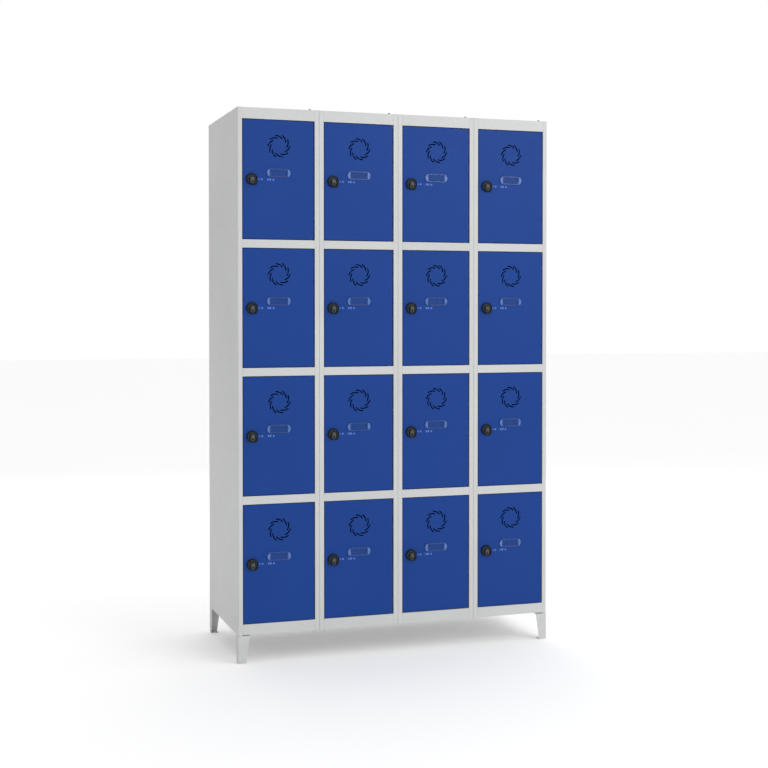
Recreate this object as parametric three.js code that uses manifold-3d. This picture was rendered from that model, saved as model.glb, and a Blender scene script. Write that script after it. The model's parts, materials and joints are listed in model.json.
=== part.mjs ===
// A free-standing steel locker cabinet: a grey folded-sheet carcass on four corner legs, divided into
// columns and tiers, with one inset door per compartment. Each door hangs on its column's hinge rod at
// its right edge and has a turning latch for a padlock at its left edge.
//
// Millimetres. +X is to the right, +Y to the back and +Z up. The origin is on the floor, in the middle
// of the cabinet's width and of its depth, latches included.

import * as THREE from 'three';
import { mergeVertices } from 'three/addons/utils/BufferGeometryUtils.js';
import Module from 'manifold-3d';

// ---- Driving dimensions ----

const columnCount = 4;
const tierCount = 4;
const overallWidth = 1150;
const bodyHeight = 1800;
const bodyDepth = 500;
const legHeight = 95;

const sheet = 1; // thickness of the folded steel sheet
const gap = 0.3; // between two pieces that touch

const stileFace = 16; // front face of one folded stile, two of them make a post between columns
const topRailFace = 38;
const shelfRailFace = 28;
const bottomRailFace = 38.5;
const railReturn = 16; // fold behind the lower edge of each rail
const stileDrop = 3; // how far the stiles reach below the bottom rail
const stileEndRadius = 6; // rounded lower ends of the stiles
const stopWidth = 8; // door stop folded from the stile on the latch side
const cornerRadius = 3; // outer front corners of the body
const seamWidth = 0.8; // open seam down the middle of a post
const seamDepth = 10;
const rearFlange = 15;
const bottomFlange = 30; // fold of the side panels that the legs are bolted to
const shelfFlange = 12; // fold that fastens a shelf to the panel beside it

const doorGap = 2; // around a closed door, at its top, bottom and latch side
const doorThickness = 17;
const hingeInset = 11; // hinge axis to the door's right edge
const swingClearance = 1.1; // between the stile and the door's corner as it swings past
const stopClearance = 1;

const rodRadius = 3;
const rodHoleRadius = 3.8;
const rodEnd = 4; // length of rod above the top panel

const ventDrop = 88; // centre of the vent below the door's upper edge
const ventOffset = 2; // centre of the vent to the right of the door's middle
const ventSlots = 10;
const ventStart = 30; // degrees from +X to the inner end of the first slot
const ventInnerRadius = 27.5;
const ventOuterRadius = 38;
const ventSweep = 42; // degrees that a slot turns from its inner to its outer end
const ventBulge = 3; // how far a slot bows out of the straight line between its ends
const ventSlotWidth = 4;

const latchInset = 31; // latch axis to the door's left edge
const latchReach = 16; // from the door's face to the front of the hub
const hubRadius = 5.5;
const hubHeight = 3; // in front of the arm
const armThickness = 5.5;
const armHubRadius = 7.5;
const eyeDistance = 10; // padlock eye to the latch axis
const eyeRadius = 3.2;
const eyeRimRadius = 6.2;
const spindleRadius = 8;
const spindleHoleRadius = 9;
const camClearance = 1.5; // between the locked cam and the door stop
const camThickness = 2.5;
const camWidth = 15;
const camLength = 36;

const legSheet = 2;
const legTopWidth = 40;
const legFootWidth = 27;

const roundSides = 12; // sides of the small round sections
const armSteps = 6; // straight steps round each end of the latch arm
const cornerSteps = 3; // straight steps in a rounded corner
const slotSteps = 2; // straight steps along a vent slot

// ---- Derived dimensions ----

const columnPitch = overallWidth / columnCount;
const bodyTop = legHeight + bodyHeight;
const left = -overallWidth / 2;
const front = (latchReach - bodyDepth) / 2;

const openingWidth = columnPitch - 2 * stileFace;
const railsHeight = topRailFace + bottomRailFace + (tierCount - 1) * shelfRailFace;
const openingHeight = (bodyHeight - railsHeight) / tierCount;
const tierPitch = openingHeight + shelfRailFace;

const rodDepth = doorThickness / 2;
const hingeSideGap = Math.hypot(hingeInset, rodDepth) - hingeInset + swingClearance;
const doorWidth = openingWidth - doorGap - hingeSideGap;
const doorHeight = openingHeight - 2 * doorGap;
const doorFreeEdge = hingeInset - doorWidth; // from the hinge axis
const rodX = columnPitch - stileFace - hingeSideGap - hingeInset; // from the column's left side

const stopFront = doorThickness + stopClearance;
const stileDepth = stopFront + sheet;
const deckFront = stileDepth + gap;
const camFront = stileDepth + camClearance;
const camBack = camFront + camThickness;

const sheetRear = bodyDepth - sheet - gap; // where the side panels and partitions end
const deckRear = sheetRear - sheet - gap;
const bottomDeckTop = legHeight + bottomRailFace;
const panelTop = bodyTop - sheet - gap;

// ---- Solids ----

const wasm = await Module();
wasm.setup();

function solid(geometry) {
  geometry.deleteAttribute('normal');
  geometry.deleteAttribute('uv');
  const merged = mergeVertices(geometry);
  return new wasm.Manifold(new wasm.Mesh({
    numProp: 3,
    vertProperties: new Float32Array(merged.attributes.position.array),
    triVerts: new Uint32Array(merged.index.array),
  }));
}

function geometryOf(body) {
  const mesh = body.getMesh();
  const geometry = new THREE.BufferGeometry();
  geometry.setAttribute('position', new THREE.BufferAttribute(mesh.vertProperties, mesh.numProp));
  geometry.setIndex(new THREE.BufferAttribute(mesh.triVerts, 1));
  geometry.computeVertexNormals();
  return geometry;
}

// A box from its [low, high] span along each axis.
function block(x, y, z) {
  const geometry = new THREE.BoxGeometry(x[1] - x[0], y[1] - y[0], z[1] - z[0]);
  geometry.translate((x[0] + x[1]) / 2, (y[0] + y[1]) / 2, (z[0] + z[1]) / 2);
  return solid(geometry);
}

const axisX = new THREE.Vector3(1, 0, 0);
const axisY = new THREE.Vector3(0, 1, 0);
const axisZ = new THREE.Vector3(0, 0, 1);

function extruded(points, length) {
  const shape = new THREE.Shape(points.map(([a, b]) => new THREE.Vector2(a, b)));
  return new THREE.ExtrudeGeometry(shape, { depth: length, bevelEnabled: false });
}

// Outlines of [x, y], [x, z] and [y, z] points, each carried along the third axis.
function prismAlongZ(points, [low, high]) {
  return solid(extruded(points, high - low).translate(0, 0, low));
}

function prismAlongY(points, [low, high]) {
  const upright = new THREE.Matrix4().makeBasis(axisX, axisZ, axisY.clone().negate());
  return solid(extruded(points, high - low).applyMatrix4(upright).translate(0, high, 0));
}

function prismAlongX(points, [low, high]) {
  const upright = new THREE.Matrix4().makeBasis(axisY, axisZ, axisX);
  return solid(extruded(points, high - low).applyMatrix4(upright).translate(low, 0, 0));
}

// Points along an arc, both ends included.
function arc([a, b], radius, fromDegrees, toDegrees, steps) {
  return Array.from({ length: steps + 1 }, (unused, step) => {
    const angle = THREE.MathUtils.degToRad(fromDegrees + ((toDegrees - fromDegrees) * step) / steps);
    return [a + radius * Math.cos(angle), b + radius * Math.sin(angle)];
  });
}

function circle(centre, radius, sides) {
  return arc(centre, radius, 0, 360, sides).slice(0, -1);
}

function joined(...pieces) {
  return pieces.reduce((whole, piece) => whole.add(piece));
}

// ---- Carcass ----
// Plan outlines are [u, d] points: u from the outside of a panel, or from the seam of a post, towards
// the compartment, and d backwards from the front of the body.

// The front of a panel: stile face, fold beside the door and, on the latch side, the door stop.
function stileOutline(hasStop) {
  const stop = [
    [stileFace, stopFront],
    [stileFace + stopWidth, stopFront],
    [stileFace + stopWidth, stileDepth],
  ];
  return [
    [stileFace, 0],
    ...(hasStop ? stop : [[stileFace, stileDepth]]),
    [stileFace - sheet, stileDepth],
    [stileFace - sheet, sheet],
  ];
}

function rearOutline() {
  return [
    [sheet, sheetRear - sheet],
    [rearFlange, sheetRear - sheet],
    [rearFlange, sheetRear],
  ];
}

// Cuts away what lies outside the rounded lower end of one stile, u from low to high.
function stileEndCutters(low, high) {
  const below = legHeight - stileEndRadius;
  const spans = [[low, low + stileEndRadius, 180], [high, high - stileEndRadius, 360]];
  return spans.map(([edge, centre, angle]) => {
    const round = arc([centre, legHeight + stileEndRadius], stileEndRadius, angle, 270, cornerSteps);
    return prismAlongY([...round, [centre, below], [edge, below]], [-sheet, 2 * sheet]);
  });
}

function sidePanel(isLeft) {
  const outer = arc([cornerRadius, cornerRadius], cornerRadius, 180, 270, cornerSteps);
  const inner = arc([cornerRadius, cornerRadius], cornerRadius - sheet, 270, 180, cornerSteps);
  const outline = [...outer, ...stileOutline(isLeft), ...inner, ...rearOutline(), [0, sheetRear]];
  const foldSpan = [stileDepth + gap, sheetRear - sheet / 2];
  const body = joined(
    prismAlongZ(outline, [legHeight, panelTop]),
    block([sheet / 2, bottomFlange], foldSpan, [legHeight, legHeight + sheet]),
  );
  const shaped = stileEndCutters(0, stileFace).reduce((rest, cutter) => rest.subtract(cutter), body);
  const geometry = geometryOf(shaped);
  if (!isLeft) {
    geometry.scale(-1, 1, 1);
    geometry.setIndex(Array.from(geometry.index.array).reverse());
  }
  return geometry;
}

// Two panels back to back: one web, and a stile on each side of an open seam.
function partition() {
  const mirrored = (points) => points.map(([u, d]) => [-u, d]).reverse();
  const outline = [
    [seamWidth / 2, 0],
    ...stileOutline(true),
    [sheet, sheet],
    ...rearOutline(),
    [-sheet, sheetRear],
    [-sheet, sheet],
    ...mirrored(stileOutline(false)),
    [-seamWidth / 2, 0],
    [-seamWidth / 2, seamDepth],
    [seamWidth / 2, seamDepth],
  ];
  const underDeck = block(
    [-rearFlange, rearFlange + sheet],
    [stileDepth, bodyDepth],
    [legHeight - sheet, bottomDeckTop + gap],
  );
  const cutters = [
    ...stileEndCutters(seamWidth / 2, stileFace),
    ...stileEndCutters(-stileFace, -seamWidth / 2),
    underDeck,
  ];
  const body = prismAlongZ(outline, [legHeight, panelTop]);
  return geometryOf(cutters.reduce((rest, cutter) => rest.subtract(cutter), body));
}

function rodHole(x, z) {
  return prismAlongZ(circle([x, rodDepth], rodHoleRadius, roundSides), z);
}

// One column's front rail, as high as faceHeight, with its upper edge at z = 0 and x from the column's
// left side: the face, the fold at its lower edge and the tongue that joins it to the deck behind.
function rail(faceHeight, x = 0) {
  const low = x + stileFace + gap;
  const high = x + columnPitch - stileFace - gap;
  const tongue = [
    [low, 0],
    [high, 0],
    [high, deckFront + sheet],
    [low + stopWidth, deckFront + sheet],
    [low + stopWidth, stopFront - gap],
    [low, stopFront - gap],
  ];
  return joined(
    prismAlongZ(tongue, [-sheet, 0]),
    block([low, high], [0, sheet], [-faceHeight, 0]),
    block([low, high], [0, railReturn], [-faceHeight, sheet - faceHeight]),
  );
}

function shelf() {
  const low = sheet + gap;
  const high = columnPitch - sheet - gap;
  const span = [deckFront, deckRear];
  const body = joined(
    rail(shelfRailFace),
    block([low, high], span, [-sheet, 0]),
    block([low, low + sheet], span, [-shelfFlange, 0]),
    block([high - sheet, high], span, [-shelfFlange, 0]),
  );
  return geometryOf(body.subtract(rodHole(rodX, [-shelfRailFace - sheet, sheet])));
}

const columnStarts = Array.from({ length: columnCount }, (unused, column) => column * columnPitch);

// The floor of the lowest compartments, one deck under all partitions, with a rail in each column.
function bottomPanel() {
  const railFace = bottomRailFace - stileDrop;
  const deck = block(
    [sheet + gap, overallWidth - sheet - gap],
    [deckFront, deckRear],
    [-sheet, 0],
  );
  const body = joined(deck, ...columnStarts.map((start) => rail(railFace, start)));
  const holes = columnStarts.map((start) => rodHole(start + rodX, [-2 * sheet, sheet]));
  return geometryOf(holes.reduce((rest, hole) => rest.subtract(hole), body));
}

function topPanel() {
  const width = overallWidth;
  const plate = [
    ...arc([cornerRadius, cornerRadius], cornerRadius, 180, 270, cornerSteps),
    ...arc([width - cornerRadius, cornerRadius], cornerRadius, 270, 360, cornerSteps),
    [width, bodyDepth],
    [0, bodyDepth],
  ];
  const rails = columnStarts.map((start) => rail(topRailFace, start));
  const body = joined(prismAlongZ(plate, [-sheet, 0]), ...rails);
  const holes = columnStarts.map((start) => rodHole(start + rodX, [-topRailFace - sheet, sheet]));
  return geometryOf(holes.reduce((rest, hole) => rest.subtract(hole), body));
}

function backPanel() {
  return geometryOf(block(
    [0, overallWidth],
    [bodyDepth - sheet, bodyDepth],
    [legHeight, panelTop],
  ));
}

// A tapered corner leg, its corner at the origin. Its walls run towards +X or -X and +Y or -Y.
function leg(towardsX, towardsY) {
  const height = legHeight - gap;
  const wall = (towards) => [
    [0, 0],
    [towards * legFootWidth, 0],
    [towards * legTopWidth, height],
    [0, height],
  ];
  const span = (towards, length) => (towards > 0 ? [0, length] : [-length, 0]);
  const plate = (width, z) => block(span(towardsX, width), span(towardsY, width), z);
  return geometryOf(joined(
    prismAlongY(wall(towardsX), span(towardsY, legSheet)),
    prismAlongX(wall(towardsY), span(towardsX, legSheet)),
    plate(legTopWidth, [height - legSheet, height]),
    plate(legFootWidth, [0, legSheet]),
  ));
}

// A rod from the fold of the bottom rail up through every door and shelf of a column.
function hingeRod() {
  const foot = legHeight + stileDrop + sheet + gap;
  return geometryOf(prismAlongZ(circle([0, 0], rodRadius, roundSides), [foot, bodyTop + rodEnd]));
}

// ---- Doors ----

// One curved vent slot in the door's plane, around the vent's centre.
function slotOutline(startDegrees) {
  const at = (radius, degrees) => new THREE.Vector2(
    radius * Math.cos(THREE.MathUtils.degToRad(degrees)),
    radius * Math.sin(THREE.MathUtils.degToRad(degrees)),
  );
  const inner = at(ventInnerRadius, startDegrees);
  const outer = at(ventOuterRadius, startDegrees + ventSweep);
  const along = outer.clone().sub(inner).normalize();
  const outwards = new THREE.Vector2(along.y, -along.x);
  const middle = inner.clone().add(outer).divideScalar(2).addScaledVector(outwards, 2 * ventBulge);
  const line = new THREE.QuadraticBezierCurve(inner, middle, outer);
  const edge = (offset) => Array.from({ length: slotSteps + 1 }, (unused, step) => {
    const tangent = line.getTangent(step / slotSteps);
    const point = line.getPoint(step / slotSteps);
    return [point.x + offset * tangent.y, point.y - offset * tangent.x];
  });
  return [...edge(ventSlotWidth / 2), ...edge(-ventSlotWidth / 2).reverse()];
}

// A folded tray, open at the back, with x and y from the hinge axis and z from its lower edge.
function door() {
  const x = [doorFreeEdge, hingeInset];
  const faceY = -rodDepth;
  const tray = block(x, [faceY, faceY + doorThickness], [0, doorHeight]).subtract(block(
    [x[0] + sheet, x[1] - sheet],
    [faceY + sheet, faceY + doorThickness + sheet],
    [sheet, doorHeight - sheet],
  ));
  const throughFace = [faceY - sheet, faceY + 2 * sheet];
  const ventX = (x[0] + x[1]) / 2 + ventOffset;
  const ventZ = doorHeight - ventDrop;
  const slots = Array.from({ length: ventSlots }, (unused, slot) => {
    const outline = slotOutline(ventStart + (360 / ventSlots) * slot);
    return prismAlongY(outline.map(([a, b]) => [ventX + a, ventZ + b]), throughFace);
  });
  const cutters = [
    ...slots,
    prismAlongZ(circle([0, 0], rodHoleRadius, roundSides), [-sheet, doorHeight + sheet]),
    prismAlongY(
      circle([doorFreeEdge + latchInset, doorHeight / 2], spindleHoleRadius, roundSides),
      throughFace,
    ),
  ];
  return geometryOf(cutters.reduce((rest, cutter) => rest.subtract(cutter), tray));
}

// Hub, arm, spindle and cam in one turning piece, its axis along Y and y = 0 at the door's face. It is
// unlocked here: the arm with its padlock eye and the cam behind the door both point down.
function latch() {
  const armFront = hubHeight - latchReach;
  const armBack = armFront + armThickness;
  const arm = [
    ...arc([0, 0], armHubRadius, 180, 0, armSteps),
    ...arc([0, -eyeDistance], eyeRimRadius, 0, -180, armSteps),
  ];
  const cam = [
    ...arc([0, 0], camWidth / 2, 180, 0, cornerSteps),
    [camWidth / 2, -camLength],
    [-camWidth / 2, -camLength],
  ];
  const eye = prismAlongY(
    circle([0, -eyeDistance], eyeRadius, roundSides),
    [armFront - gap, armBack + gap],
  );
  return geometryOf(joined(
    prismAlongY(circle([0, 0], hubRadius, roundSides), [-latchReach, armFront + gap]),
    prismAlongY(arm, [armFront, armBack]).subtract(eye),
    prismAlongY(circle([0, 0], spindleRadius, roundSides), [armBack - gap, camBack]),
    prismAlongY(cam, [camFront, camBack]),
  ));
}

// ---- Materials ----

const bodyPaint = new THREE.MeshStandardMaterial({ color: 0xd7d7d2, roughness: 0.55, metalness: 0.1 });
const doorPaint = new THREE.MeshStandardMaterial({ color: 0x284a90, roughness: 0.5, metalness: 0.1 });
const rodSteel = new THREE.MeshStandardMaterial({ color: 0x6d6f70, roughness: 0.4, metalness: 0.9 });
const blackPlastic = new THREE.MeshStandardMaterial({ color: 0x17181a, roughness: 0.45, metalness: 0 });

// ---- Assembly ----

const group = new THREE.Group();

function place(parent, name, geometry, material, position) {
  const mesh = new THREE.Mesh(geometry, material);
  mesh.name = name;
  mesh.position.set(...position);
  parent.add(mesh);
}

place(group, 'left_side_panel', sidePanel(true), bodyPaint, [left, front, 0]);
place(group, 'right_side_panel', sidePanel(false), bodyPaint, [-left, front, 0]);
place(group, 'back_panel', backPanel(), bodyPaint, [left, front, 0]);
place(group, 'top_panel', topPanel(), bodyPaint, [left, front, bodyTop]);
place(group, 'bottom_panel', bottomPanel(), bodyPaint, [left, front, bottomDeckTop]);

const rear = front + bodyDepth;
place(group, 'leg_front_left', leg(1, 1), bodyPaint, [left, front, 0]);
place(group, 'leg_front_right', leg(-1, 1), bodyPaint, [-left, front, 0]);
place(group, 'leg_rear_left', leg(1, -1), bodyPaint, [left, rear, 0]);
place(group, 'leg_rear_right', leg(-1, -1), bodyPaint, [-left, rear, 0]);

const partitionGeometry = partition();
const shelfGeometry = shelf();
const rodGeometry = hingeRod();
const doorGeometry = door();
const latchGeometry = latch();

columnStarts.forEach((start, column) => {
  const columnX = left + start;
  const columnName = `c${column + 1}`;
  if (column > 0) {
    place(group, `partition_${column}`, partitionGeometry, bodyPaint, [columnX, front, 0]);
  }
  const rodPosition = [columnX + rodX, front + rodDepth, 0];
  place(group, `hinge_rod_${columnName}`, rodGeometry, rodSteel, rodPosition);

  for (let tier = 1; tier <= tierCount; tier += 1) {
    const openingTop = bodyTop - topRailFace - (tier - 1) * tierPitch;
    const openingBottom = openingTop - openingHeight;
    if (tier < tierCount) {
      place(group, `shelf_${columnName}_${tier}`, shelfGeometry, bodyPaint, [columnX, front, openingBottom]);
    }
    const leaf = new THREE.Group();
    leaf.position.set(rodPosition[0], rodPosition[1], openingBottom + doorGap);
    group.add(leaf);
    const latchPosition = [doorFreeEdge + latchInset, -rodDepth, doorHeight / 2];
    place(leaf, `door_${columnName}_t${tier}`, doorGeometry, doorPaint, [0, 0, 0]);
    place(leaf, `latch_${columnName}_t${tier}`, latchGeometry, blackPlastic, latchPosition);
  }
});

export default group;
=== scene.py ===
"""The looks of the locker cabinet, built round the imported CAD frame.

Lengths are metres in the CAD's frame: +X right, +Y back, +Z up, the front facing -Y.
"""

import json
import math

import bmesh
import bpy
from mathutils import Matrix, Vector
from mathutils.geometry import tessellate_polygon


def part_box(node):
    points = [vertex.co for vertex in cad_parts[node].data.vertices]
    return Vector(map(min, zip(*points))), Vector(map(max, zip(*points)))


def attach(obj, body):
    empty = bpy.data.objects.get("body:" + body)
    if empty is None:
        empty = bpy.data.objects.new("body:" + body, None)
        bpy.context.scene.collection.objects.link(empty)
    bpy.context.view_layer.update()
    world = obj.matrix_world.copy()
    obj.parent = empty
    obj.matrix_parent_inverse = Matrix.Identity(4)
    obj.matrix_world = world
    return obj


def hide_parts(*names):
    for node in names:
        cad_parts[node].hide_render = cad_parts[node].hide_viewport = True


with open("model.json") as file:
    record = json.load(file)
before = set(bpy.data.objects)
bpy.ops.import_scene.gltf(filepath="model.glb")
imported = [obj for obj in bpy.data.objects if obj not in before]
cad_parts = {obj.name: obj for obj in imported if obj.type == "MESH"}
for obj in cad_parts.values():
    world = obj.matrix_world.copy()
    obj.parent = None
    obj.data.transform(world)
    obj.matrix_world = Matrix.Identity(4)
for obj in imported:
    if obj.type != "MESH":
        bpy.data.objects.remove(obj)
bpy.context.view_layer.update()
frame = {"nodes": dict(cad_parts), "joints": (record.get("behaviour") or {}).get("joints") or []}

MM = 0.001
SHEET = 1.0 * MM
BEND = 2.2 * MM  # outer radius of a folded door edge
CUT_EDGE = 0.2 * MM  # chamfer of a sheared sheet edge
DOOR_CORNER = 3 * MM  # radius of a door's corners, seen from the front
DOOR_CORNER_LEAST = 0.6 * MM
ROD_HOLE_RADIUS = 3.8 * MM  # in the folded edges of a door
DOOR_GAP = 2 * MM

COLUMNS = 4
TIERS = 4

VENT_DROP = 88 * MM  # below the door's upper edge
VENT_OFFSET = 2 * MM  # to the right of the door's middle
VENT_SLOTS = 10
VENT_START = 30  # degrees to the inner end of the first slot
VENT_INNER = 27.5 * MM
VENT_OUTER = 38 * MM
VENT_SWEEP = 42  # degrees
VENT_BULGE = 3 * MM
VENT_SLOT_WIDTH = 4 * MM

LABEL_DROP = 180 * MM
LABEL_WIDTH = 84 * MM
LABEL_HEIGHT = 30 * MM
LABEL_END_SPREAD = 70  # degrees to each side of the middle
LABEL_WINDOW = (57 * MM, 21 * MM)
CARD_OVERLAP = 1 * MM  # of the card behind the window's edge

SPINDLE_HOLE = 9 * MM
NUT_HOLE = 8.2 * MM
SPINDLE_RADIUS = 7.9 * MM
HUB_RADIUS = 5.5 * MM
HUB_CAP_THICKNESS = 0.7 * MM
ARM_SETBACK = 3 * MM  # of the arm's front behind the hub's
ARM_THICKNESS = 5.5 * MM
ARM_HUB_RADIUS = 7.5 * MM
EYE_DISTANCE = 10 * MM  # padlock eye of the latch's arm to the latch axis
EYE_RADIUS = 3.2 * MM
EYE_RIM_RADIUS = 6.2 * MM
CAM_THICKNESS = 2.5 * MM
CAM_CORNER = 3 * MM
BEZEL_RADIUS = 19.6 * MM
BEZEL_RIM_RADIUS = 18.8 * MM
BEZEL_INSIDE = 16.8 * MM  # the arm turns inside it
EAR_ANGLE = -50  # degrees, where the bezel's ear is
EAR_DISTANCE = 17 * MM
EAR_RADIUS = 7.8 * MM

CARCASS_EDGE = 0.35 * MM  # rounding of the carcass sheets' edges
RIVET_SHARES = (0.15, 0.5, 0.85)  # of a shelf's depth
RIVET_DROP = 7 * MM  # below the shelf's upper face
LEG_SHEET = 2 * MM
FOLD_TOP = 1.3 * MM  # clears the side panel's fold on top of a leg
SCREW_ROWS = 8
SCREW_INSET = 8 * MM  # from a panel's edge or a partition's middle
SCREW_END_INSET = 40 * MM  # from the back panel's upper and lower edges

# ---- Camera, floor and light ----

CAMERA_PLACE = (-1.564, -4.780, 1.201)
CAMERA_YAW = 0.3216
CAMERA_PITCH = -0.0192
CAMERA_LENS = 63.82
CAMERA_SHIFT = -0.06

# Strength of the sky: at the horizon, how it changes along X and Z, and its least.
SKY_LEVEL = 0.80
SKY_SIDEWAYS = 0.42  # brighter towards +X
SKY_UPWARDS = 0.15
SKY_LEAST = 0.25
KEY_PLACE = (2.4, -4.2, 3.4)
KEY_SIZE = (3.0, 3.0)
KEY_POWER = 60
BACK_PLACE = (0.5, 4.0, 3.0)
BACK_SIZE = (3.0, 2.0)
BACK_POWER = 30
LIGHT_TARGET = (0, 0, 0.95)  # the middle of the cabinet
FLOOR_SIZE = 30
FLOOR_GLOW = 0.13
COPY_SPREAD = 7.0  # how far apart copies of a piece lie in their patterns


def make_camera():
    data = bpy.data.cameras.new("camera")
    data.lens = CAMERA_LENS
    data.sensor_width = 36
    data.shift_y = CAMERA_SHIFT
    camera = bpy.data.objects.new("camera", data)
    camera.location = CAMERA_PLACE
    camera.rotation_euler = (math.pi / 2 + CAMERA_PITCH, 0, -CAMERA_YAW)
    bpy.context.scene.collection.objects.link(camera)
    bpy.context.scene.camera = camera


def area_light(name, place, size, power):
    data = bpy.data.lights.new(name, "AREA")
    data.shape = "RECTANGLE"
    data.size, data.size_y = size
    data.energy = power
    light = bpy.data.objects.new(name, data)
    light.location = place
    aim = Vector(LIGHT_TARGET) - Vector(place)
    light.rotation_euler = aim.to_track_quat("-Z", "Y").to_euler()
    bpy.context.scene.collection.objects.link(light)


def make_world():
    """White to the eye, but the light it gives falls off towards -X and below."""
    world = bpy.data.worlds.new("studio")
    world.use_nodes = True
    tree = world.node_tree
    direction = tree.nodes.new("ShaderNodeTexCoord").outputs["Generated"]
    axes = tree.nodes.new("ShaderNodeSeparateXYZ")
    link(tree, direction, axes.inputs[0])
    sideways = arithmetic(tree, "MULTIPLY", axes.outputs["X"], SKY_SIDEWAYS)
    upwards = arithmetic(tree, "MULTIPLY", axes.outputs["Z"], SKY_UPWARDS)
    sky = arithmetic(tree, "ADD", arithmetic(tree, "ADD", sideways, upwards), SKY_LEVEL)
    seen = tree.nodes.new("ShaderNodeLightPath").outputs["Is Camera Ray"]
    strength = tree.nodes.new("ShaderNodeMix")
    link(tree, seen, strength.inputs["Factor"])
    link(tree, arithmetic(tree, "MAXIMUM", sky, SKY_LEAST), strength.inputs[2])
    strength.inputs[3].default_value = 1.0
    background = tree.nodes["Background"]
    background.inputs["Color"].default_value = (1, 1, 1, 1)
    link(tree, strength.outputs[0], background.inputs["Strength"])
    bpy.context.scene.world = world


def make_studio():
    bpy.context.scene.view_settings.view_transform = "Standard"
    make_world()
    area_light("key", KEY_PLACE, KEY_SIZE, KEY_POWER)
    area_light("back", BACK_PLACE, BACK_SIZE, BACK_POWER)

    bm = bmesh.new()
    bmesh.ops.create_grid(bm, x_segments=1, y_segments=1, size=FLOOR_SIZE)
    floor = piece_from("floor", bm)
    floor.data.materials.append(floor_material())


# ---- Materials ----
# Noise scales are per metre.


def new_material(name):
    material = bpy.data.materials.new(name)
    material.use_nodes = True
    tree = material.node_tree
    return material, tree, tree.nodes["Principled BSDF"]


def link(tree, source, target):
    tree.links.new(source, target)


def noise(tree, coordinates, scale, detail=3.0, roughness=0.5):
    node = tree.nodes.new("ShaderNodeTexNoise")
    node.inputs["Scale"].default_value = scale
    node.inputs["Detail"].default_value = detail
    node.inputs["Roughness"].default_value = roughness
    link(tree, coordinates, node.inputs["Vector"])
    return node.outputs["Fac"]


def ramp(tree, value, low, high, low_out=0.0, high_out=1.0):
    node = tree.nodes.new("ShaderNodeMapRange")
    node.inputs["From Min"].default_value = low
    node.inputs["From Max"].default_value = high
    node.inputs["To Min"].default_value = low_out
    node.inputs["To Max"].default_value = high_out
    link(tree, value, node.inputs["Value"])
    return node.outputs["Result"]


def arithmetic(tree, operation, a, b):
    node = tree.nodes.new("ShaderNodeMath")
    node.operation = operation
    for socket, value in zip(node.inputs, (a, b)):
        if isinstance(value, (int, float)):
            socket.default_value = value
        else:
            link(tree, value, socket)
    return node.outputs[0]


def mix_colour(tree, factor, a, b):
    node = tree.nodes.new("ShaderNodeMix")
    node.data_type = "RGBA"
    link(tree, factor, node.inputs["Factor"])
    for socket, value in ((node.inputs[6], a), (node.inputs[7], b)):
        if isinstance(value, tuple):
            socket.default_value = (*value, 1)
        else:
            link(tree, value, socket)
    return node.outputs[2]


def bump(tree, shader, height, distance, strength=1.0):
    node = tree.nodes.new("ShaderNodeBump")
    node.inputs["Distance"].default_value = distance
    node.inputs["Strength"].default_value = strength
    link(tree, height, node.inputs["Height"])
    link(tree, node.outputs["Normal"], shader.inputs["Normal"])


def object_coordinates(tree):
    """A piece's own coordinates, moved by its random number so that copies don't look alike."""
    own = tree.nodes.new("ShaderNodeTexCoord").outputs["Object"]
    number = tree.nodes.new("ShaderNodeObjectInfo").outputs["Random"]
    moved = tree.nodes.new("ShaderNodeVectorMath")
    moved.operation = "ADD"
    link(tree, own, moved.inputs[0])
    link(tree, arithmetic(tree, "MULTIPLY", number, COPY_SPREAD), moved.inputs[1])
    return moved.outputs[0]


def floor_material():
    material, tree, shader = new_material("floor")
    place = object_coordinates(tree)
    mottle = noise(tree, place, 1.3, 2.0)
    link(tree, mix_colour(tree, mottle, (0.90, 0.90, 0.90), (0.93, 0.93, 0.925)),
         shader.inputs["Base Color"])
    shader.inputs["Roughness"].default_value = 0.9
    shader.inputs["Emission Color"].default_value = (1, 1, 1, 1)
    shader.inputs["Emission Strength"].default_value = FLOOR_GLOW
    return material


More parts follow.
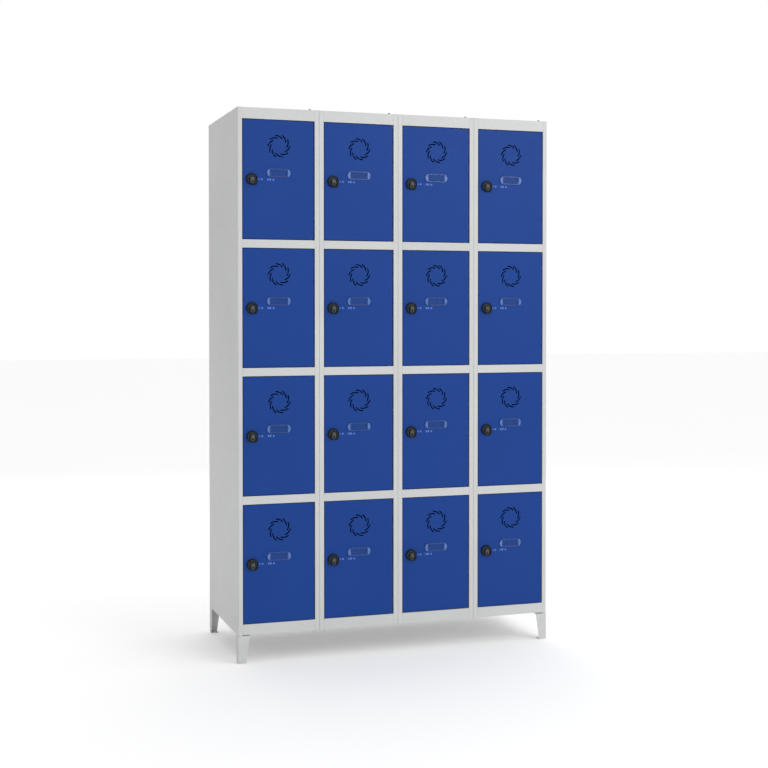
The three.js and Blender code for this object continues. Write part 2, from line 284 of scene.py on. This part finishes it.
def powder_coat(name, base, worn, gloss, specular):
    """Sprayed and baked paint: orange-peel skin, faint cloudiness, small scuffs."""
    material, tree, shader = new_material(name)
    place = object_coordinates(tree)
    cloud = noise(tree, place, 2.2, 4.0, 0.6)
    fine = noise(tree, place, 38, 3.0, 0.6)
    darker = tuple(c * 0.97 for c in base)
    lighter = tuple(min(1, c * 1.03) for c in base)
    tone = mix_colour(tree, ramp(tree, cloud, 0.35, 0.65), darker, lighter)

    streaks = tree.nodes.new("ShaderNodeMapping")
    streaks.inputs["Scale"].default_value = (90, 90, 7)
    link(tree, place, streaks.inputs["Vector"])
    scratch = noise(tree, streaks.outputs["Vector"], 1.0, 2.0, 0.7)
    scuff = arithmetic(
        tree, "MULTIPLY",
        ramp(tree, scratch, 0.66, 0.74),
        ramp(tree, noise(tree, place, 5.0, 2.0), 0.52, 0.66, 0.0, 0.16),
    )
    marked = mix_colour(tree, scuff, tone, worn)

    # Darker in patches towards the floor.
    height = tree.nodes.new("ShaderNodeSeparateXYZ")
    link(tree, tree.nodes.new("ShaderNodeNewGeometry").outputs["Position"], height.inputs[0])
    low = ramp(tree, height.outputs["Z"], 0.005, 0.10, 0.30, 0.0)
    near_floor_mask = arithmetic(tree, "MULTIPLY", low, ramp(tree, noise(tree, place, 24, 4.0, 0.7), 0.4, 0.7))
    near_floor_colour = tuple(c * 0.55 for c in base)
    link(tree, mix_colour(tree, near_floor_mask, marked, near_floor_colour), shader.inputs["Base Color"])

    rough = ramp(tree, fine, 0.3, 0.7, gloss - 0.05, gloss + 0.06)
    link(tree, arithmetic(tree, "ADD", rough, arithmetic(tree, "MULTIPLY", scuff, 0.4)),
         shader.inputs["Roughness"])
    shader.inputs["IOR"].default_value = 1.5
    shader.inputs["Specular IOR Level"].default_value = specular
    peel = noise(tree, place, 520, 2.0, 0.55)
    bump(tree, shader, peel, 0.00035, 0.3)
    return material


def steel(name, base, rough):
    material, tree, shader = new_material(name)
    place = object_coordinates(tree)
    stretched = tree.nodes.new("ShaderNodeMapping")
    stretched.inputs["Scale"].default_value = (900, 900, 30)
    link(tree, place, stretched.inputs["Vector"])
    grain = noise(tree, stretched.outputs["Vector"], 1.0, 3.0, 0.6)
    darker = tuple(c * 0.75 for c in base)
    link(tree, mix_colour(tree, grain, darker, base), shader.inputs["Base Color"])
    link(tree, ramp(tree, grain, 0.3, 0.7, rough - 0.08, rough + 0.1),
         shader.inputs["Roughness"])
    shader.inputs["Metallic"].default_value = 0.95
    bump(tree, shader, grain, 0.0001, 0.3)
    return material


def moulded_plastic(name, base, rough, specular=0.5):
    """Fine spark-eroded skin with polished high spots."""
    material, tree, shader = new_material(name)
    place = object_coordinates(tree)
    fine = noise(tree, place, 900, 2.0, 0.6)
    broad = noise(tree, place, 60, 3.0, 0.5)
    lighter = tuple(min(1, c * 1.25 + 0.004) for c in base)
    link(tree, mix_colour(tree, broad, base, lighter), shader.inputs["Base Color"])
    link(tree, ramp(tree, broad, 0.3, 0.7, rough - 0.07, rough + 0.07),
         shader.inputs["Roughness"])
    shader.inputs["IOR"].default_value = 1.49
    shader.inputs["Specular IOR Level"].default_value = specular
    bump(tree, shader, fine, 0.0002, 0.25)
    return material


def clear_plastic(name, dull, bright):
    """Tinted see-through plastic, its tone varying at random between dull and bright."""
    material, tree, shader = new_material(name)
    place = object_coordinates(tree)
    broad = noise(tree, place, 90, 3.0)
    link(tree, mix_colour(tree, ramp(tree, broad, 0.35, 0.65), dull, bright),
         shader.inputs["Base Color"])
    link(tree, ramp(tree, broad, 0.3, 0.7, 0.12, 0.24), shader.inputs["Roughness"])
    shader.inputs["Transmission Weight"].default_value = 0.2
    shader.inputs["IOR"].default_value = 1.49
    bump(tree, shader, noise(tree, place, 300), 0.0002, 0.12)
    return material


MATERIALS = {
    "body_paint": powder_coat("body_paint", (0.565, 0.573, 0.570), (0.40, 0.40, 0.40), 0.45, 0.4),
    "door_paint": powder_coat("door_paint", (0.004, 0.044, 0.242), (0.05, 0.11, 0.32), 0.44, 0.18),
    "hinge_steel": steel("hinge_steel", (0.20, 0.20, 0.21), 0.42),
    "fastener_steel": steel("fastener_steel", (0.60, 0.60, 0.58), 0.30),
    "hub_steel": steel("hub_steel", (0.13, 0.13, 0.13), 0.52),
    "latch_plastic": moulded_plastic("latch_plastic", (0.004, 0.005, 0.009), 0.45, 0.2),
    "arm_plastic": moulded_plastic("arm_plastic", (0.050, 0.055, 0.055), 0.45, 0.3),
    # painted highlight: the dial's dark grey is lighter than the bezel's black, standing in for the light
    # its raised ring catches
    "dial_plastic_painted_highlight": moulded_plastic("dial_plastic_painted_highlight", (0.024, 0.032, 0.034), 0.42, 0.3),
    "label_plastic": clear_plastic("label_plastic", (0.007, 0.050, 0.26), (0.012, 0.060, 0.285)),
    # painted highlight: the raised ends take a much lighter blue than the frame, standing in for the
    # highlights on their rounded ends
    "label_ends": clear_plastic("label_ends", (0.065, 0.150, 0.46), (0.125, 0.235, 0.58)),
    "label_card": moulded_plastic("label_card", (0.004, 0.038, 0.185), 0.4, 0.2),
    "mark_print": moulded_plastic("mark_print", (0.085, 0.165, 0.48), 0.5, 0.2),
}


# ---- Mesh helpers ----


def piece_from(name, bm, smooth_angle=35):
    """Turns a bmesh into an object in the scene, smooth but for its sharp edges."""
    mesh = bpy.data.meshes.new(name)
    bmesh.ops.remove_doubles(bm, verts=bm.verts, dist=0.001 * MM)
    bmesh.ops.recalc_face_normals(bm, faces=bm.faces)
    bm.to_mesh(mesh)
    bm.free()
    mesh.shade_smooth()
    mesh.set_sharp_from_angle(angle=math.radians(smooth_angle))
    made = bpy.data.objects.new(name, mesh)
    bpy.context.scene.collection.objects.link(made)
    return made


def arc(centre, radius, start, end, steps):
    """Points along an arc, in degrees, both ends included."""
    made = []
    for step in range(steps + 1):
        angle = math.radians(start + (end - start) * step / steps)
        made.append((centre[0] + radius * math.cos(angle), centre[1] + radius * math.sin(angle)))
    return made


def circle(centre, radius, sides):
    return arc(centre, radius, 0, 360, sides)[:-1]


def polar(radius, degrees):
    angle = math.radians(degrees)
    return radius * math.cos(angle), radius * math.sin(angle)


def rounded_box(centre, width, height, radius, steps):
    x, z = width / 2 - radius, height / 2 - radius
    made = []
    for sx, sz, start in ((1, 1, 0), (-1, 1, 90), (-1, -1, 180), (1, -1, 270)):
        made += arc((centre[0] + sx * x, centre[1] + sz * z), radius, start, start + 90, steps)
    return made


def area_of(loop):
    return sum(a[0] * b[1] - b[0] * a[1] for a, b in zip(loop, loop[1:] + loop[:1])) / 2


def inset(loop, amount):
    """The loop moved inwards by amount, or a hole's loop outwards, by its corners' mitres."""
    side = 1 if area_of(loop) > 0 else -1
    made = []
    for before, here, after in zip(loop[-1:] + loop[:-1], loop, loop[1:] + loop[:1]):
        first = (Vector(here) - Vector(before)).normalized()
        second = (Vector(after) - Vector(here)).normalized()
        normal = Vector((-first.y - second.y, first.x + second.x)) * side
        normal.normalize()
        edge = Vector((-first.y, first.x)) * side
        mitre = min(1 / max(normal.dot(edge), 0.3), 2.0)
        made.append(tuple(Vector(here) + normal * amount * mitre))
    return made


def join_rings(bm, rings):
    """Quads between each ring of vertices and the next."""
    for ring, following in zip(rings, rings[1:]):
        for i, corner in enumerate(ring):
            j = (i + 1) % len(ring)
            bm.faces.new((corner, ring[j], following[j], following[i]))


def slab(bm, outer, holes, front, back, edge=0.3 * MM, steps=2, back_edge=None):
    """A plate across Y from front to back, its outline and holes [x, z] loops, its edges rounded."""
    back_edge = edge if back_edge is None else back_edge
    rings = []
    for step in range(steps + 1):
        turn = math.radians(90 * step / steps)
        rings.append((edge * (1 - math.sin(turn)), front + edge * (1 - math.cos(turn))))
    for step in range(steps + 1):
        turn = math.radians(90 * step / steps)
        rings.append((back_edge * (1 - math.cos(turn)), back - back_edge * (1 - math.sin(turn))))
    caps = ([], [])
    for number, loop in enumerate([outer, *holes]):
        sign = 1 if number == 0 else -1
        made = []
        for amount, y in rings:
            points = inset(loop, sign * amount)
            made.append([bm.verts.new((x, y, z)) for x, z in points])
        join_rings(bm, made)
        caps[0].append(made[0])
        caps[1].append(made[-1])
    for loops in caps:
        fill(bm, loops)


def fill(bm, loops):
    """Flat faces between an outer loop of vertices and its holes, all across Y."""
    flat = [[Vector((v.co.x, v.co.z, 0)) for v in loop] for loop in loops]
    verts = [v for loop in loops for v in loop]
    for triangle in tessellate_polygon(flat):
        corners = [verts[i] for i in triangle]
        if len(set(corners)) == 3 and bm.faces.get(corners) is None:
            bm.faces.new(corners)


def lathe(bm, profile, centre, sides, axis="y"):
    """A closed solid of revolution from [radius, distance along the axis] points."""
    rings = []
    for radius, along in profile:
        ring = []
        count = 1 if radius == 0 else sides
        for step in range(count):
            angle = 2 * math.pi * step / sides
            across = (radius * math.cos(angle), radius * math.sin(angle))
            if axis == "y":
                place = (centre[0] + across[0], centre[1] + along, centre[2] + across[1])
            elif axis == "x":
                place = (centre[0] + along, centre[1] + across[0], centre[2] + across[1])
            else:
                place = (centre[0] + across[0], centre[1] + across[1], centre[2] + along)
            ring.append(bm.verts.new(place))
        rings.append(ring)
    for ring, following in zip(rings, rings[1:]):
        for i in range(sides):
            j = (i + 1) % sides
            a = [ring[i % len(ring)], ring[j % len(ring)]]
            b = [following[j % len(following)], following[i % len(following)]]
            corners = list(dict.fromkeys(a + b))
            if len(corners) > 2:
                bm.faces.new(corners)


def finish_piece(name, mesh, body, place=(0, 0, 0), stands_for=()):
    """An object that shows mesh at place, rides on body and takes its finish from a slot."""
    made = bpy.data.objects.new(name, mesh)
    made.location = place
    bpy.context.scene.collection.objects.link(made)
    flat = made.modifiers.new("flat", "WEIGHTED_NORMAL")
    flat.keep_sharp = True
    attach(made, body)
    if stands_for:
        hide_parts(*stands_for)


def template(name, bm, material):
    """A mesh shared by all copies of a piece."""
    made = piece_from(name, bm)
    made.data.materials.append(MATERIALS[material])
    mesh = made.data
    bpy.data.objects.remove(made)
    return mesh


def cut_with(target, cutter):
    """Takes the cutter's shape out of the target, by a modifier."""
    cut = target.modifiers.new("cut", "BOOLEAN")
    cut.operation = "DIFFERENCE"
    cut.solver = "EXACT"
    cut.object = cutter


# ---- Doors ----

door_low, door_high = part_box("door_c1_t1")
DOOR_WIDTH = door_high.x - door_low.x
DOOR_HEIGHT = door_high.z - door_low.z
DOOR_THICKNESS = door_high.y - door_low.y
DOOR_CENTRE_X = (door_low.x + door_high.x) / 2

joints = {joint["child"]: joint for joint in frame["joints"]}
LATCH_X = joints["latch_c1_t1"]["pos_m"][0] - DOOR_CENTRE_X  # from the door's middle
HINGE_X = joints["door_c1_t1"]["pos_m"][0] - DOOR_CENTRE_X


def vent_slot(start):
    """One curved slot's loop round the vent's centre, its ends rounded."""
    inner = Vector(polar(VENT_INNER, start))
    outer = Vector(polar(VENT_OUTER, start + VENT_SWEEP))
    along = (outer - inner).normalized()
    outwards = Vector((along.y, -along.x))
    middle = (inner + outer) / 2 + outwards * 2 * VENT_BULGE
    half = VENT_SLOT_WIDTH / 2
    steps = 7
    line = []
    for step in range(steps + 1):
        t = step / steps
        point = inner * (1 - t) ** 2 + middle * 2 * t * (1 - t) + outer * t ** 2
        tangent = ((middle - inner) * (1 - t) + (outer - middle) * t).normalized()
        line.append((point, Vector((tangent.y, -tangent.x)), tangent))
    loop = []
    for side, stretch in ((half, line), (-half, line[::-1])):
        loop += [tuple(point + normal * side) for point, normal, _ in stretch]
        point, normal, tangent = stretch[-1]
        for turn in (45, 90, 135):
            sideways, ahead = polar(side, turn)
            loop.append(tuple(point + normal * sideways + tangent * ahead))
    return loop


def door_mesh():
    """A tray folded from one sheet, its face at y = 0, round the middle of its lower edge."""
    bm = bmesh.new()
    w, h, t = DOOR_WIDTH / 2, DOOR_HEIGHT, DOOR_THICKNESS
    centre = (0, h / 2)
    bend_steps = 4

    # Outer skin from the face round the bend to the rim, and back inside.
    rings = []
    for step in range(bend_steps + 1):
        turn = math.radians(90 * step / bend_steps)
        rings.append((BEND * (1 - math.sin(turn)), BEND * (1 - math.cos(turn))))
    rings += [(0, t - CUT_EDGE), (CUT_EDGE, t), (SHEET - CUT_EDGE, t), (SHEET, t - CUT_EDGE)]
    inner = BEND - SHEET
    for step in range(bend_steps + 1):
        turn = math.radians(90 - 90 * step / bend_steps)
        rings.append((SHEET + inner * (1 - math.sin(turn)), SHEET + inner * (1 - math.cos(turn))))
    loops = []
    for amount, y in rings:
        radius = max(DOOR_CORNER - amount, DOOR_CORNER_LEAST)
        points = rounded_box(centre, 2 * (w - amount), h - 2 * amount, radius, 4)
        loops.append([bm.verts.new((x, y, z)) for x, z in points])
    join_rings(bm, loops)

    # Holes through the face, their edges drawn in a little by the punch.
    holes = [
        [(x + VENT_OFFSET, z + h - VENT_DROP) for x, z in vent_slot(VENT_START + slot * 360 / VENT_SLOTS)]
        for slot in range(VENT_SLOTS)
    ]
    holes.append(circle((LATCH_X, h / 2), SPINDLE_HOLE, 24))
    punch = [(0.5 * MM, 0), (0.15 * MM, 0.12 * MM), (0, 0.45 * MM), (0, SHEET)]
    front, back = [loops[0]], [loops[-1]]
    for hole in holes:
        made = [[bm.verts.new((x, y, z)) for x, z in inset(hole, -out)] for out, y in punch]
        join_rings(bm, made)
        front.append(made[0])
        back.append(made[-1])
    fill(bm, front)
    fill(bm, back)

    door = piece_from("door_template", bm, 40)
    rod = bmesh.new()
    low, high = -1 * MM, h + 1 * MM
    profile = [(0, low), (ROD_HOLE_RADIUS, low), (ROD_HOLE_RADIUS, high), (0, high)]
    lathe(rod, profile, (HINGE_X, t / 2, 0), 24, "z")
    cutter = piece_from("rod_cutter", rod)
    cut_with(door, cutter)
    bpy.context.view_layer.update()
    mesh = bpy.data.meshes.new_from_object(
        door.evaluated_get(bpy.context.evaluated_depsgraph_get())
    )
    mesh.name = "door"
    mesh.materials.clear()
    mesh.materials.append(MATERIALS["door_paint"])
    bpy.data.objects.remove(door)
    bpy.data.objects.remove(cutter)
    return mesh


# ---- Latches ----

latch_low, latch_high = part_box("latch_c1_t1")
LATCH_REACH = door_low.y - latch_low.y  # hub in front of the door
CAM_LENGTH = joints["latch_c1_t1"]["pos_m"][2] - latch_low.z
CAM_BACK = latch_high.y - door_low.y


def eared_outline(radius, ear):
    """A disc and its rounded ear, joined by their outer tangents."""
    spread = math.degrees(math.acos((radius - ear) / EAR_DISTANCE))
    loop = arc((0, 0), radius, EAR_ANGLE + spread, EAR_ANGLE + 360 - spread, 36)
    return loop + arc(polar(EAR_DISTANCE, EAR_ANGLE), ear, EAR_ANGLE - spread, EAR_ANGLE + spread, 12)


def bezel_mesh():
    """The fixed dish round the latch, with the ear at its lower right."""
    bm = bmesh.new()
    inside = circle((0, 0), BEZEL_INSIDE, 48)
    base = eared_outline(BEZEL_RADIUS, EAR_RADIUS)
    slab(bm, base, [inside], -4.6 * MM, -0.05 * MM, 1.2 * MM, 4, 0.1 * MM)
    rim = circle((0, 0), BEZEL_RIM_RADIUS, 48)
    slab(bm, rim, [inside], -8.8 * MM, -4.2 * MM, 0.8 * MM, 4, 0.1 * MM)
    return template("bezel", bm, "latch_plastic")


def dial_mesh():
    """The floor of the dish with its raised ring."""
    bm = bmesh.new()
    profile = [(8.4, -0.1), (8.4, -2.2), (10.9, -2.4), (11.6, -2.8), (12.4, -5.2), (13.0, -5.7),
               (15.2, -5.7), (16.0, -5.2), (16.4, -3.0), (16.7, -2.6), (16.7, -0.1), (8.4, -0.1)]
    lathe(bm, [(radius * MM, along * MM) for radius, along in profile], (0, 0, 0), 48)
    # painted highlight: lighter grey plastic for the light caught by the raised ring
    return template("dial", bm, "dial_plastic_painted_highlight")


def latch_mesh():
    """Hub, arm, spindle and cam, round the latch axis, with y = 0 at the door's face."""
    bm = bmesh.new()
    eye = (0, -EYE_DISTANCE)
    arm_front = -LATCH_REACH + ARM_SETBACK
    arm_back = arm_front + ARM_THICKNESS
    arm = arc((0, 0), ARM_HUB_RADIUS, 0, 180, 20) + arc(eye, EYE_RIM_RADIUS, 180, 360, 20)
    slab(bm, arm, [circle(eye, EYE_RADIUS, 24)], arm_front, arm_back, 1.0 * MM, 4, 0.3 * MM)

    hub_front = HUB_CAP_THICKNESS - LATCH_REACH
    hub_back = arm_back - 2 * MM
    chamfer = 0.3 * MM
    lathe(bm, [(0, hub_back), (HUB_RADIUS, hub_back), (HUB_RADIUS, hub_front + chamfer),
               (HUB_RADIUS - chamfer, hub_front), (0, hub_front)], (0, 0, 0), 32)

    spindle_front = arm_back - 1 * MM
    chamfer = 0.4 * MM
    lathe(bm, [(0, spindle_front), (SPINDLE_RADIUS, spindle_front), (SPINDLE_RADIUS, CAM_BACK - chamfer),
               (SPINDLE_RADIUS - chamfer, CAM_BACK), (0, CAM_BACK)], (0, 0, 0), 28)

    half = ARM_HUB_RADIUS - CAM_CORNER
    cam = arc((0, 0), ARM_HUB_RADIUS, 180, 0, 10)
    cam += arc((half, CAM_CORNER - CAM_LENGTH), CAM_CORNER, 0, -90, 4)
    cam += arc((-half, CAM_CORNER - CAM_LENGTH), CAM_CORNER, -90, -180, 4)
    slab(bm, cam[::-1], [], CAM_BACK - CAM_THICKNESS, CAM_BACK - 0.02 * MM)
    return template("latch_arm", bm, "arm_plastic")


def hub_cap_mesh():
    """The slotted cap on the front of the hub."""
    bm = bmesh.new()
    slot = rounded_box((0, 0), 6 * MM, 1.3 * MM, 0.5 * MM, 3)
    back = HUB_CAP_THICKNESS - 0.02 * MM - LATCH_REACH
    slab(bm, circle((0, 0), 4.8 * MM, 32), [slot], -LATCH_REACH, back, 0.25 * MM, 3, 0.02 * MM)
    return template("hub_cap", bm, "hub_steel")


def nut_mesh():
    """The hexagon nut and washer that clamp the bezel from behind the door's face."""
    bm = bmesh.new()
    radius = 13 * MM
    front, back = SHEET + 0.1 * MM, SHEET + 1.2 * MM
    lathe(bm, [(NUT_HOLE, front), (radius, front), (radius, back), (NUT_HOLE, back), (NUT_HOLE, front)],
          (0, 0, 0), 32)
    hexagon = [polar(12.5 * MM, 60 * corner + 30) for corner in range(6)]
    slab(bm, hexagon, [circle((0, 0), NUT_HOLE, 28)], back, SHEET + 6 * MM, 0.4 * MM)
    return template("latch_nut", bm, "fastener_steel")


# ---- Label holder and marks ----


def label_frame_mesh():
    """The flat base of the holder, with a window for the card."""
    bm = bmesh.new()
    window = rounded_box((0, 0), *LABEL_WINDOW, 1 * MM, 3)
    outline = rounded_box((0, 0), LABEL_WIDTH, LABEL_HEIGHT, LABEL_HEIGHT / 2 - 0.1 * MM, 12)
    slab(bm, outline, [window], -1.8 * MM, -0.05 * MM, 0.5 * MM, 3, 0.1 * MM)
    return template("label_frame", bm, "label_plastic")


def label_ends_mesh():
    """The two raised half-round ends of the holder, their straight sides inwards."""
    bm = bmesh.new()
    radius = LABEL_HEIGHT / 2 - 0.5 * MM
    middle = LABEL_WIDTH / 2 - LABEL_HEIGHT / 2
    for x, facing in ((middle, 0), (-middle, 180)):
        end = arc((x, 0), radius, facing - LABEL_END_SPREAD, facing + LABEL_END_SPREAD, 18)
        slab(bm, end, [], -3.8 * MM, -1.5 * MM, 1.1 * MM, 4, 0.05 * MM)
    # painted highlight: the ends' light blue material stands in for highlights on their rounded faces
    return template("label_ends", bm, "label_ends")


def label_card_mesh():
    """The card that lies behind the holder's window."""
    bm = bmesh.new()
    width, height = (side + 2 * CARD_OVERLAP for side in LABEL_WINDOW)
    slab(bm, rounded_box((0, 0), width, height, 0.6 * MM, 2), [], -0.45 * MM, -0.1 * MM, 0.05 * MM)
    return template("label_card", bm, "label_card")


def mark_mesh():
    """Plain printed shapes in a row to the right of the latch: a triangle, a square, bars and a dot."""
    bm = bmesh.new()
    shapes = [
        [(23.5 * MM, -3.6 * MM), (29.5 * MM, 0), (23.5 * MM, 3.6 * MM)],
        rounded_box((35.5 * MM, 0), 6 * MM, 6 * MM, 0.6 * MM, 2),
        rounded_box((57 * MM, 0), 5 * MM, 6.5 * MM, 0.6 * MM, 2),
        rounded_box((64.5 * MM, 0), 6 * MM, 7.5 * MM, 0.6 * MM, 2),
        circle((76 * MM, -0.5 * MM), 3.4 * MM, 20),
    ]
    for shape in shapes:
        slab(bm, shape, [], -0.14 * MM, -0.02 * MM, 0.03 * MM, 1)
    return template("marks", bm, "mark_print")


def washer_mesh():
    """The washer that a door turns on, between its lower edge and the rail."""
    bm = bmesh.new()
    profile = [(3.3, 0.25), (5.6, 0.25), (5.9, 0.5), (5.9, 1.0), (5.6, 1.25), (3.3, 1.25), (3.3, 0.25)]
    lathe(bm, [(radius * MM, along * MM) for radius, along in profile], (0, 0, 0), 28, "z")
    return template("hinge_washer", bm, "fastener_steel")


def make_doors():
    door = door_mesh()
    bezel = bezel_mesh()
    dial = dial_mesh()
    latch = latch_mesh()
    hub_cap = hub_cap_mesh()
    nut = nut_mesh()
    washer = washer_mesh()
    label_frame = label_frame_mesh()
    label_ends = label_ends_mesh()
    label_card = label_card_mesh()
    marks = mark_mesh()
    for column in range(1, COLUMNS + 1):
        for tier in range(1, TIERS + 1):
            name = f"c{column}_t{tier}"
            body = f"door_{name}"
            turning = f"latch_{name}"
            low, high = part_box(body)
            face = (low.x + high.x) / 2, low.y, low.z
            axis = joints[turning]["pos_m"]
            hinge = joints[body]["pos_m"]
            at_latch = (axis[0], low.y, axis[2])
            at_label = (face[0], low.y, high.z - LABEL_DROP)
            at_washer = (hinge[0], (low.y + high.y) / 2, low.z - DOOR_GAP)
            finish_piece(f"door_skin_{name}", door, body, face, [body])
            finish_piece(f"bezel_{name}", bezel, body, at_latch)
            finish_piece(f"dial_{name}", dial, body, at_latch)
            finish_piece(f"latch_nut_{name}", nut, body, at_latch)
            finish_piece(f"latch_arm_{name}", latch, turning, at_latch, [turning])
            finish_piece(f"hub_cap_{name}", hub_cap, turning, at_latch)
            finish_piece(f"hinge_washer_{name}", washer, body, at_washer)
            finish_piece(f"label_frame_{name}", label_frame, body, at_label)
            finish_piece(f"label_ends_{name}", label_ends, body, at_label)
            finish_piece(f"label_card_{name}", label_card, body, at_label)
            finish_piece(f"marks_{name}", marks, body, at_latch)


# ---- Carcass ----


def soften(node, width):
    """Rounds the edges of a CAD node, whose faces come in unjoined."""
    weld = node.modifiers.new("weld", "WELD")
    weld.merge_threshold = 0.02 * MM
    bevel = node.modifiers.new("edge", "BEVEL")
    bevel.width = width
    bevel.segments = 2
    bevel.limit_method = "ANGLE"
    bevel.angle_limit = math.radians(50)


def make_carcass():
    for name, node in frame["nodes"].items():
        if name.startswith(("door_", "latch_")):
            continue
        slot = "hinge_steel" if name.startswith("hinge_rod") else "body_paint"
        node.data.materials.clear()
        node.data.materials.append(MATERIALS[slot])
        soften(node, CARCASS_EDGE)


# ---- Fasteners ----


def rivet(bm, place, side):
    """A domed rivet head, 7 mm across, standing on place towards the given side along X."""
    profile = [(0, 0), (3.5, 0), (3.5, 0.25), (2.9, 0.7), (1.8, 1.0), (0.9, 1.05), (0.7, 0.8), (0, 0.8)]
    lathe(bm, [(radius * MM, side * along * MM) for radius, along in profile], place, 16, "x")


def screw(bm, place):
    """A countersunk screw, its head just below place on the back and its shank towards -Y."""
    profile = [(0, -0.25), (2.6, -0.25), (2.9, -0.35), (2.9, -0.5), (1.6, -1.4), (1.6, -6), (0, -6)]
    lathe(bm, [(radius * MM, along * MM) for radius, along in profile], place, 16)


def hexagon_bolt(bm, place, side):
    """A hexagon head with its washer, upright, on the given side of a plate at place."""
    washer = [(0, 0.05), (7, 0.05), (7, 1.1), (0, 1.1)]
    lathe(bm, [(radius * MM, side * along * MM) for radius, along in washer], place, 24, "z")
    head = [(0, 1.1), (5.4, 1.1), (5.75, 1.5), (5.75, 4.4), (5.1, 5), (0, 5)]
    lathe(bm, [(radius * MM, side * along * MM) for radius, along in head], place, 6, "z")


def make_shelf_rivets():
    """Rivets through the ends of each shelf that are folded down."""
    for name in frame["nodes"]:
        if not name.startswith("shelf_"):
            continue
        low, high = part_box(name)
        bm = bmesh.new()
        for share in RIVET_SHARES:
            y = low.y + share * (high.y - low.y)
            z = high.z - RIVET_DROP
            rivet(bm, (low.x + SHEET, y, z), 1)
            rivet(bm, (high.x - SHEET, y, z), -1)
        rivets = template("rivets", bm, "fastener_steel")
        finish_piece(f"rivets_{name}", rivets, "root")


def make_back_screws():
    """Screws through the back panel into every upright panel, each in its own countersink."""
    low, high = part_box("back_panel")
    edges = [low.x + SCREW_INSET, high.x - SCREW_INSET]
    for column in range(1, COLUMNS):
        first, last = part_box(f"partition_{column}")
        edges.append((first.x + last.x) / 2 - SCREW_INSET)
    screws = bmesh.new()
    sinks = bmesh.new()
    first_z = low.z + SCREW_END_INSET
    span = high.z - low.z - 2 * SCREW_END_INSET
    for x in edges:
        for row in range(SCREW_ROWS):
            place = (x, high.y, first_z + span * row / (SCREW_ROWS - 1))
            screw(screws, place)
            profile = [(0, 0.5), (3.4, 0.5), (3.4, 0), (1.9, -1.5), (0, -1.5)]
            lathe(sinks, [(radius * MM, along * MM) for radius, along in profile], place, 16)
    finish_piece("back_screws", template("screws", screws, "fastener_steel"), "root")
    cutter = piece_from("countersinks", sinks)
    cutter.hide_render = True
    cut_with(frame["nodes"]["back_panel"], cutter)


def make_leg_fasteners():
    """A hexagon head below each leg's top plate, and one above the side panel's fold."""
    for name in frame["nodes"]:
        if not name.startswith("leg_"):
            continue
        low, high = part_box(name)
        middle = (low.x + high.x) / 2, (low.y + high.y) / 2
        bm = bmesh.new()
        hexagon_bolt(bm, (*middle, high.z - LEG_SHEET), -1)
        hexagon_bolt(bm, (*middle, high.z + FOLD_TOP), 1)
        bolts = template("leg_fasteners", bm, "fastener_steel")
        finish_piece(f"fasteners_{name}", bolts, "root")


def make_rod_collars():
    """The pressed collar round each hinge rod, on the top panel."""
    for column in range(1, COLUMNS + 1):
        low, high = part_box(f"hinge_rod_c{column}")
        bm = bmesh.new()
        profile = [(3.3, 0.05), (7.0, 0.05), (7.0, 0.5), (5.2, 1.0), (4.8, 1.9), (3.3, 2.1), (3.3, 0.05)]
        place = ((low.x + high.x) / 2, (low.y + high.y) / 2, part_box("top_panel")[1].z)
        lathe(bm, [(radius * MM, along * MM) for radius, along in profile], place, 28, "z")
        collar = template("rod_collar", bm, "hinge_steel")
        finish_piece(f"rod_collar_c{column}", collar, "root")


make_camera()
make_studio()
make_doors()
make_carcass()
make_shelf_rivets()
make_leg_fasteners()
make_rod_collars()
make_back_screws()
